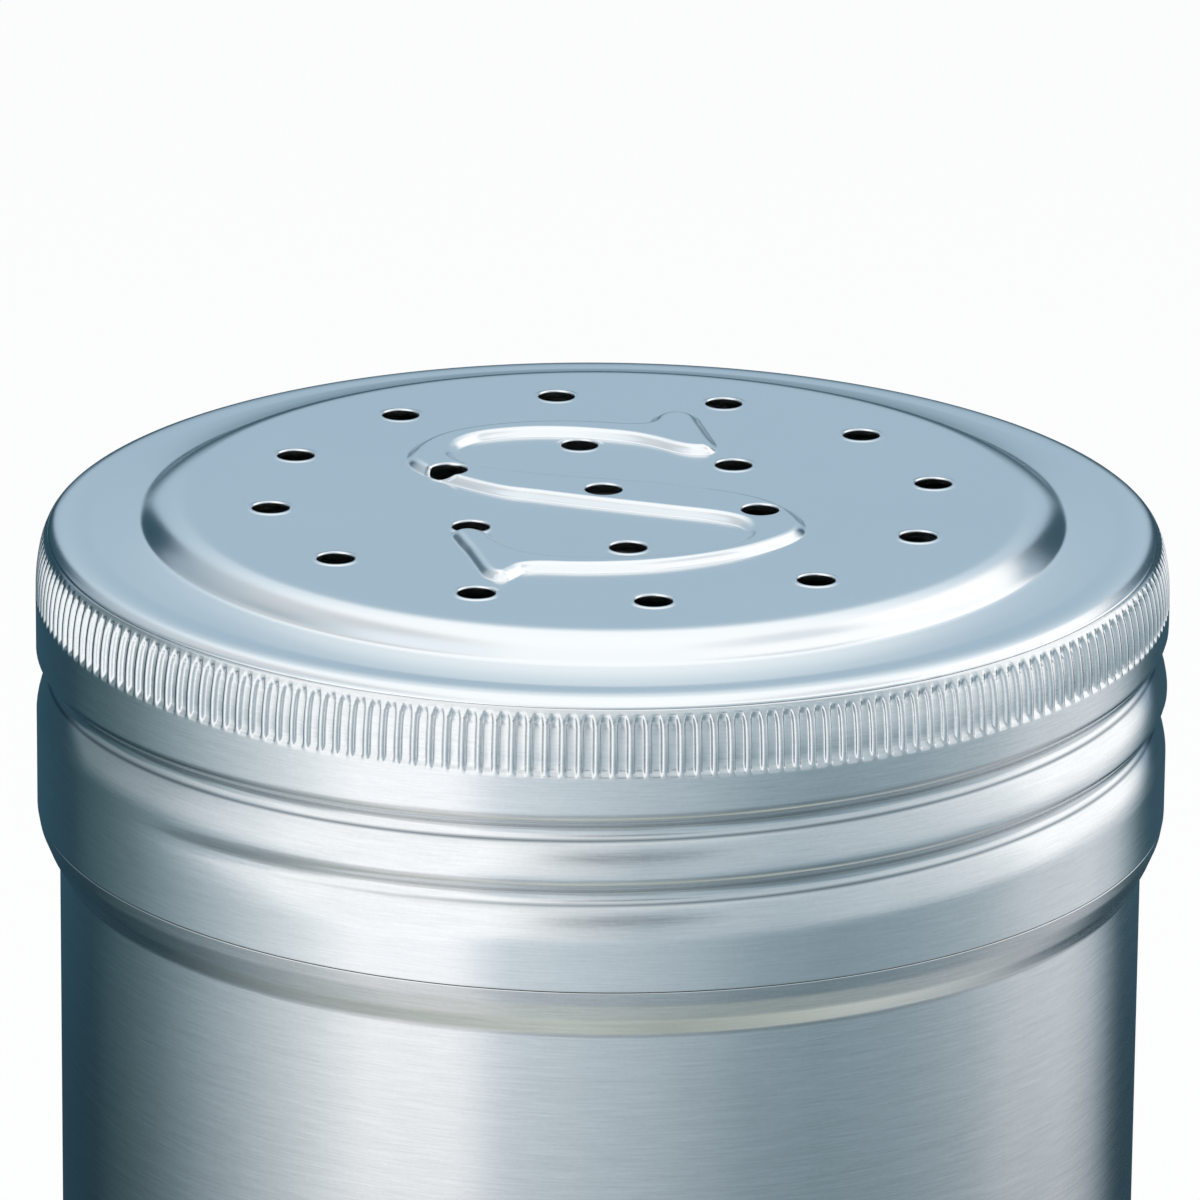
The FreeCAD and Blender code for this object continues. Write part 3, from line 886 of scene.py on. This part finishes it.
table_mesh = bpy.data.meshes.new("table")
SPAN = 6.0
table_mesh.from_pydata(
    [(-SPAN, -SPAN, 0), (SPAN, -SPAN, 0), (SPAN, SPAN, 0), (-SPAN, SPAN, 0)], [], [(0, 1, 2, 3)]
)
table = bpy.data.objects.new("table", table_mesh)
bpy.context.scene.collection.objects.link(table)
table_paint, tree = blank_material("table_paint")
rays = tree.nodes.new("ShaderNodeLightPath").outputs
seen = (
    Socket(tree, rays["Is Camera Ray"])
    .math("MAXIMUM", Socket(tree, rays["Is Glossy Ray"]))
    .math("MAXIMUM", Socket(tree, rays["Is Transmission Ray"]))
)
add_node(
    tree,
    "ShaderNodeOutputMaterial",
    inputs={
        "Surface": add_node(
            tree,
            "ShaderNodeMixShader",
            inputs={
                0: seen * 0.85,
                1: add_node(tree, "ShaderNodeBsdfDiffuse", inputs={"Color": (0.9, 0.9, 0.9, 1)}),
                2: add_node(tree, "ShaderNodeEmission", inputs={"Color": (1, 1, 1, 1)}),
            },
        )
    },
)
table_mesh.materials.append(table_paint)

# The screen is a closed round tent. Its colours go round it by compass angle (0 behind, 0.5 in
# front, from -x to +x) and up it by slope, the height over the cap's middle through the radius.
SCREEN_INNER = 34.4
SCREEN_RADIUS = 200.0
SCREEN_FLOOR = 0.4
SCREEN_TOP = 800.0
SCREEN_COLUMNS = 96
screen_turn = np.arange(SCREEN_COLUMNS) * 2 * np.pi / SCREEN_COLUMNS
screen_line = np.array(
    [
        (SCREEN_INNER, SCREEN_FLOOR),
        (SCREEN_RADIUS, SCREEN_FLOOR),
        (SCREEN_RADIUS, SCREEN_TOP),
        (1.0, SCREEN_TOP),
    ]
)
screen_mesh = bpy.data.meshes.new("screen")
screen_mesh.from_pydata(
    turned(screen_line[:, :1], screen_line[:, 1:], screen_turn) * MM,
    [],
    wall_faces(len(screen_line), len(screen_turn)),
)
screen = bpy.data.objects.new("screen", screen_mesh)
bpy.context.scene.collection.objects.link(screen)
screen.visible_camera = False
screen.visible_diffuse = False
screen.visible_shadow = False
screen.visible_transmission = False
paint, tree = blank_material("screen_paint")
place = add_node(tree, "ShaderNodeTexCoord", output="Object")
parts = add_node(tree, "ShaderNodeSeparateXYZ", inputs={"Vector": place}).output.node.outputs
x, y, z = (Socket(tree, parts[axis]) for axis in "XYZ")
compass = x.math("ARCTAN2", y * -1.0) / (2 * np.pi) + 0.5
CAP_MIDDLE = 0.105
slope = (z - CAP_MIDDLE) / (x * x + y * y).math("SQRT")
DARK = (0.03, 0.08, 0.115)
BACK = (0.42, 0.56, 0.68)
BLACK = (0.0, 0.0, 0.0, 1.0)
WHITE = (1.0, 1.0, 1.0, 1.0)


def band(stops, along=compass):
    """A colour that changes round the screen, or along another value."""
    return add_node(tree, "ShaderNodeValToRGB", {"stops": stops}, {"Fac": along})


def blend(share, under, over):
    """One colour over another by a share, which is held between 0 and 1."""
    return add_node(
        tree,
        "ShaderNodeMix",
        {"data_type": "RGBA", "clamp_factor": True},
        {"Factor": share, 6: under, 7: over},
        output=2,
    )


floor_band = band(
    [
        (0.00, DARK),
        (0.09, DARK),
        (0.13, (0.24, 0.29, 0.29)),
        (0.38, (0.66, 0.69, 0.64)),
        (0.47, (0.72, 0.76, 0.69)),
        (0.56, (0.52, 0.57, 0.51)),
        (0.64, (0.62, 0.66, 0.60)),
        (0.74, (0.84, 0.87, 0.82)),
        (0.80, (0.84, 0.87, 0.82)),
        (0.86, (0.45, 0.50, 0.47)),
        (0.91, (0.14, 0.19, 0.21)),
        (1.00, DARK),
    ]
)
low_band = band(
    [
        (0.00, DARK),
        (0.10, DARK),
        (0.15, (0.03, 0.07, 0.095)),
        (0.194, (0.085, 0.15, 0.17)),
        (0.222, (0.15, 0.22, 0.25)),
        (0.25, (0.27, 0.36, 0.40)),
        (0.29, (0.52, 0.61, 0.66)),
        (0.333, (0.86, 0.93, 0.96)),
        (0.375, (1.30, 1.31, 1.34)),
        (0.425, (1.30, 1.31, 1.34)),
        (0.453, (0.82, 0.90, 0.96)),
        (0.50, (0.66, 0.75, 0.81)),
        (0.544, (0.50, 0.60, 0.66)),
        (0.583, (0.34, 0.44, 0.50)),
        (0.622, (0.29, 0.39, 0.44)),
        (0.667, (0.34, 0.44, 0.50)),
        (0.71, (0.46, 0.55, 0.60)),
        (0.75, (0.70, 0.76, 0.80)),
        (0.80, (0.80, 0.84, 0.88)),
        (0.83, (0.60, 0.66, 0.71)),
        (0.85, (0.30, 0.38, 0.43)),
        (0.868, (0.09, 0.15, 0.18)),
        (0.885, (0.04, 0.09, 0.12)),
        (1.00, DARK),
    ]
)
high_band = band(
    [
        (0.00, DARK),
        (0.15, (0.15, 0.21, 0.24)),
        (0.20, (0.24, 0.31, 0.34)),
        (0.246, (0.42, 0.49, 0.53)),
        (0.29, (0.80, 0.86, 0.90)),
        (0.34, (1.20, 1.22, 1.24)),
        (0.44, (1.30, 1.31, 1.33)),
        (0.475, (0.95, 0.98, 1.00)),
        (0.52, (0.60, 0.68, 0.74)),
        (0.60, (0.54, 0.63, 0.69)),
        (0.67, (0.70, 0.77, 0.82)),
        (0.72, (0.95, 1.00, 1.03)),
        (0.75, (1.30, 1.31, 1.33)),
        (0.83, (1.35, 1.35, 1.35)),
        (0.87, (0.70, 0.78, 0.84)),
        (1.00, DARK),
    ]
)
top_band = band(
    [
        (0.00, (0.30, 0.38, 0.45)),
        (0.16, (0.30, 0.38, 0.45)),
        (0.20, (0.46, 0.56, 0.64)),
        (0.24, (0.93, 1.03, 1.09)),
        (0.29, (1.22, 1.22, 1.22)),
        (0.36, (1.24, 1.24, 1.24)),
        (0.42, (1.06, 1.08, 1.09)),
        (0.50, (0.86, 0.91, 0.94)),
        (0.58, (0.74, 0.83, 0.87)),
        (0.65, (0.54, 0.63, 0.68)),
        (0.70, (0.74, 0.83, 0.90)),
        (0.75, (1.22, 1.23, 1.24)),
        (0.85, (1.25, 1.25, 1.25)),
        (1.00, (1.25, 1.25, 1.25)),
    ]
)
# Behind the can it is blue at the cap's height and brightens upwards, sooner in the middle, and
# it is dimmer to the sides, where a dark screen also reaches higher up.
middle_rear = band(
    [
        (0.00, BACK),
        (0.31, BACK),
        (0.33, (0.45, 0.59, 0.70)),
        (0.355, (0.58, 0.70, 0.78)),
        (0.38, (0.80, 0.90, 0.97)),
        (0.42, (0.88, 0.97, 1.02)),
        (0.46, (0.98, 1.05, 1.09)),
        (0.52, (1.16, 1.19, 1.21)),
        (1.00, (1.20, 1.22, 1.23)),
    ],
    slope * 0.5,
)
side_rear = band(
    [
        (0.00, BACK),
        (0.22, (0.46, 0.60, 0.72)),
        (0.28, (0.53, 0.67, 0.77)),
        (0.35, (0.68, 0.80, 0.90)),
        (0.41, (0.82, 0.93, 1.01)),
        (0.485, (0.98, 1.06, 1.11)),
        (0.56, (1.14, 1.17, 1.20)),
        (1.00, (1.20, 1.22, 1.23)),
    ],
    slope * 0.5,
)
tint = band(
    [
        (0.00, (1.0, 1.0, 1.0)),
        (0.072, (1.0, 1.0, 1.0)),
        (0.085, (0.86, 0.86, 0.86)),
        (0.095, (0.70, 0.71, 0.72)),
        (0.13, (0.60, 0.62, 0.64)),
        (0.18, (0.48, 0.51, 0.54)),
        (0.82, (0.60, 0.64, 0.68)),
        (0.88, (0.68, 0.72, 0.76)),
        (0.92, (0.75, 0.77, 0.80)),
        (0.935, (1.0, 1.0, 1.0)),
        (1.00, (1.0, 1.0, 1.0)),
    ]
)


def share(stops, along=compass):
    """A share from 0 to 1 that changes round the screen."""
    return band([(place, (value,) * 3) for place, value in stops], along)


beside = share([(0.0, 0), (0.036, 0), (0.055, 1), (0.945, 1), (0.964, 0), (1.0, 0)])
rear = blend(beside, middle_rear, side_rear)
tint = blend((slope - 2.0) * 0.5, tint, WHITE)
rear = add_node(tree, "ShaderNodeVectorMath", {"operation": "MULTIPLY"}, {0: rear, 1: tint})
lit = share([(0.0, 0), (0.85, 0), (0.865, 1), (0.918, 1), (0.934, 0), (1.0, 0)])
lit = lit * share([(0.0, 0), (0.30, 0), (0.34, 1), (0.75, 1), (0.82, 0), (1.0, 0)], slope * 0.5)
rear = blend(lit, rear, (1.30, 1.30, 1.30, 1.0))
dark_rise = share(
    [
        (0.0, 0.25), (0.04, 0.25), (0.055, 0.20), (0.07, 0.22), (0.076, 0.40), (0.082, 0.62),
        (0.10, 0.62), (0.14, 0.30), (0.18, 0), (0.87, 0), (0.895, 0.57), (0.918, 0.63),
        (0.926, 0.40), (0.935, 0.22), (0.945, 0.20), (0.96, 0.25), (1.0, 0.25),
    ]
)
dimmed = blend(0.34, low_band, BLACK)
colours = blend((slope + 0.46) * 10.0, dimmed, low_band)
colours = blend((slope + 1.6) * 1.4, floor_band, colours)
behind = share([(0.0, 1), (0.14, 1), (0.17, 0), (0.85, 0), (0.868, 1), (1.0, 1)])
over = blend((slope - 0.63) * 12.0, high_band, top_band)
over = blend(behind, over, rear)
aloft = share([(0.0, 0), (0.12, 0), (0.16, 1), (0.22, 1), (0.27, 0), (1.0, 0)])
over = blend(aloft * (slope - 1.1) * 1.2, over, (1.00, 1.07, 1.12, 1.0))
over = blend((slope - 3.0) * 0.4, over, (1.16, 1.18, 1.20, 1.0))
colours = blend((slope + 0.15 - dark_rise) * 6.5, colours, over)
# The camera's own dark front shows in what faces it.
aside = (compass - 0.514) / 0.055
level = (slope - 0.31) / 0.14
spot = (1.0 - aside * aside - level * level).math("MAXIMUM", 0.0)
colours = blend(spot * 0.65, colours, (0.05, 0.08, 0.10, 1.0))
add_node(
    tree,
    "ShaderNodeOutputMaterial",
    inputs={"Surface": add_node(tree, "ShaderNodeEmission", inputs={"Color": colours})},
)
screen_mesh.materials.append(paint)

world = bpy.data.worlds.new("studio")
world.use_nodes = True
world.node_tree.nodes["Background"].inputs["Color"].default_value = (0.95, 0.97, 1.0, 1.0)
world.node_tree.nodes["Background"].inputs["Strength"].default_value = 0.8
world.cycles_visibility.glossy = False
bpy.context.scene.world = world

LAMP_PLACE = Vector((0.0, -0.1, 0.9))
LAMP_AIM = Vector((0.0, 0.0, 0.1))
lamp_light = bpy.data.lights.new("overhead_lamp", "AREA")
lamp_light.size = 0.9
lamp_light.energy = 3.0
overhead_lamp = bpy.data.objects.new("overhead_lamp", lamp_light)
bpy.context.scene.collection.objects.link(overhead_lamp)
overhead_lamp.location = LAMP_PLACE
overhead_lamp.visible_glossy = False
overhead_lamp.rotation_euler = (LAMP_AIM - LAMP_PLACE).to_track_quat("-Z", "Y").to_euler()

# The camera looks down at 17.9 degrees through a long lens. The fit puts the disc's centre at an
# image point a little to the right of the frame's middle and above it.
FRAME_SIZE = 1200.0
MIDDLE = FRAME_SIZE / 2
CENTRE_ACROSS = 603.5
CENTRE_DOWN = 495.9
FOCAL = 10394.0
DISTANCE = 0.6954
elevation, roll = np.radians(17.9), np.radians(0.537)
ahead = np.array([0.0, np.cos(elevation), -np.sin(elevation)])
above = np.array([0.0, np.sin(elevation), np.cos(elevation)])
right = np.array([1.0, 0.0, 0.0])
image_right = np.cos(roll) * right + np.sin(roll) * above
image_up = np.cos(roll) * above - np.sin(roll) * right
gaze = FOCAL * ahead
gaze = gaze + (MIDDLE - CENTRE_ACROSS) * image_right + (CENTRE_DOWN - MIDDLE) * image_up
gaze /= np.linalg.norm(gaze)
side = np.cross(gaze, image_up)
side /= np.linalg.norm(side)
turned_up = np.cross(side, gaze)
camera_data = bpy.data.cameras.new("camera")
camera_data.sensor_width = 36.0
camera_data.lens = camera_data.sensor_width * FOCAL / FRAME_SIZE
camera_data.clip_start = 0.01
camera = bpy.data.objects.new("camera", camera_data)
bpy.context.scene.collection.objects.link(camera)
centre = np.array([0.0, 0.0, TOP * MM]) - DISTANCE * ahead
camera.matrix_world = Matrix(
    [[side[k], turned_up[k], -gaze[k], centre[k]] for k in range(3)] + [[0, 0, 0, 1]]
)
bpy.context.scene.camera = camera
bpy.context.scene.view_settings.view_transform = "Standard"
